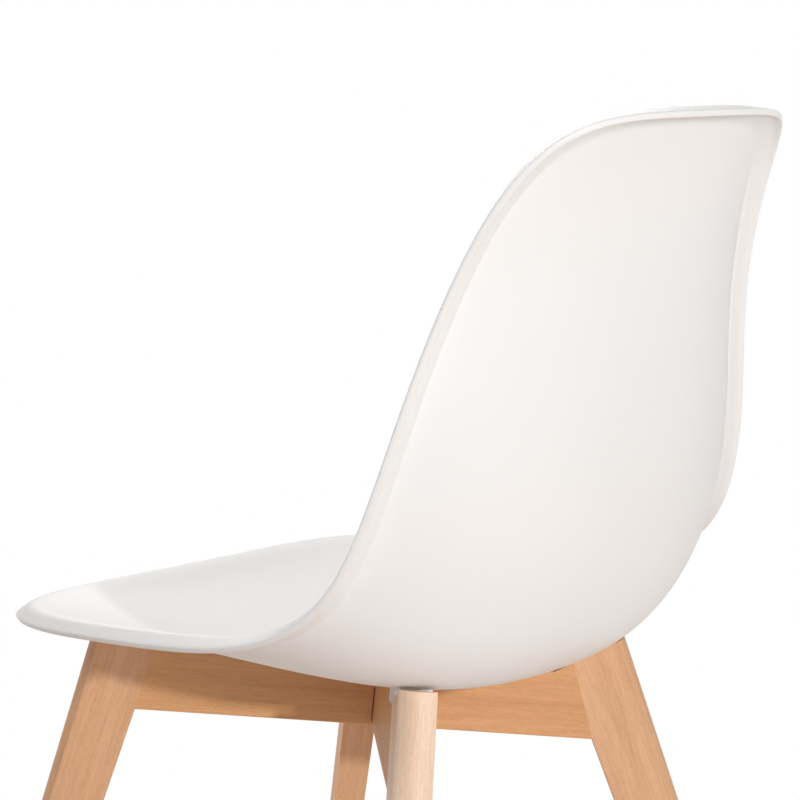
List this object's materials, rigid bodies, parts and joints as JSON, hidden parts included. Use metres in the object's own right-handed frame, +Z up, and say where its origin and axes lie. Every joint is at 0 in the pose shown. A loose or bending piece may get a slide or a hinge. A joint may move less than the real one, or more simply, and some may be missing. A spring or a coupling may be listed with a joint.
{
  "type": "moulded plastic shell chair",
  "caption": "Side chair with a one-piece moulded plastic seat and back on splayed wooden legs joined by two crossed rails.",
  "frame": {"origin": "on the floor, under the middle of the chair's bounding box", "axes": "+Z up, -Y towards the sitter's feet (the front), +X to the sitter's left"},
  "size_m": [0.5008, 0.5563, 0.8134],
  "materials": {
    "shell_plastic": "satin",
    "beech": "satin lacquer",
    "dowel_beech": "bare",
    "glide_plastic": "matt",
    "zinc_steel": "zinc plated",
    "insert_brass": "machined"
  },
  "bodies": {
    "root": {"seat_shell": "shell_plastic", "rail_over": "beech", "rail_under": "beech", "leg_front_left": "beech", "leg_front_right": "beech", "leg_rear_left": "beech", "leg_rear_right": "beech", "dowels_front_left": "dowel_beech", "dowels_front_right": "dowel_beech", "dowels_rear_left": "dowel_beech", "dowels_rear_right": "dowel_beech", "glide_front_left": "glide_plastic", "glide_front_right": "glide_plastic", "glide_rear_left": "glide_plastic", "glide_rear_right": "glide_plastic", "glide_nails": "zinc_steel", "seat_bolts": "zinc_steel", "flat_washers": "zinc_steel", "spring_washers": "zinc_steel", "threaded_inserts": "insert_brass"}
  },
  "joints": []
}
